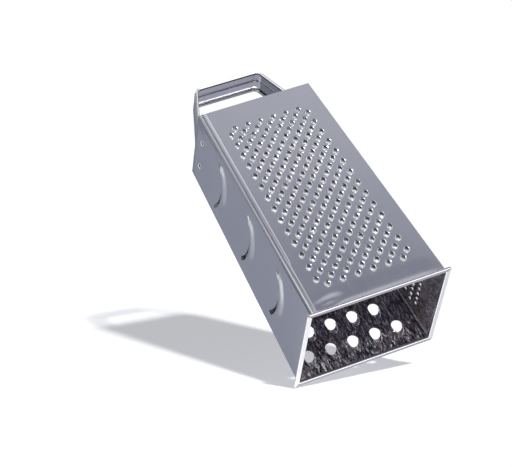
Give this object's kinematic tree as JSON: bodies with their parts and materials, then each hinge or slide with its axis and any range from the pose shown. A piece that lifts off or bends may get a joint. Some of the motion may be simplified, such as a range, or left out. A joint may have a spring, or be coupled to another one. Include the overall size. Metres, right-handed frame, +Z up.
{
  "type": "box grater",
  "caption": "Four-sided sheet-steel box grater that tapers upwards, with rasp, fine, coarse and slicing walls and a riveted strip handle on top.",
  "frame": {"origin": "centre of the foot's flat underside", "axes": "+Z up from the foot to the handle, -Y out of the rasping wall, -X out of the slicing wall, +X out of the fine wall, +Y out of the coarse wall"},
  "size_m": [0.1068, 0.0822, 0.2305],
  "materials": {
    "wall_steel": "satin rolled sheet",
    "handle_steel": "bright rolled strip",
    "rivet_steel": "satin"
  },
  "bodies": {
    "root": {"front_rasp_wall": "wall_steel", "right_fine_wall": "wall_steel", "back_coarse_wall": "wall_steel", "left_slicer_wall": "wall_steel", "handle": "handle_steel", "handle_rivets": "rivet_steel"}
  },
  "joints": []
}
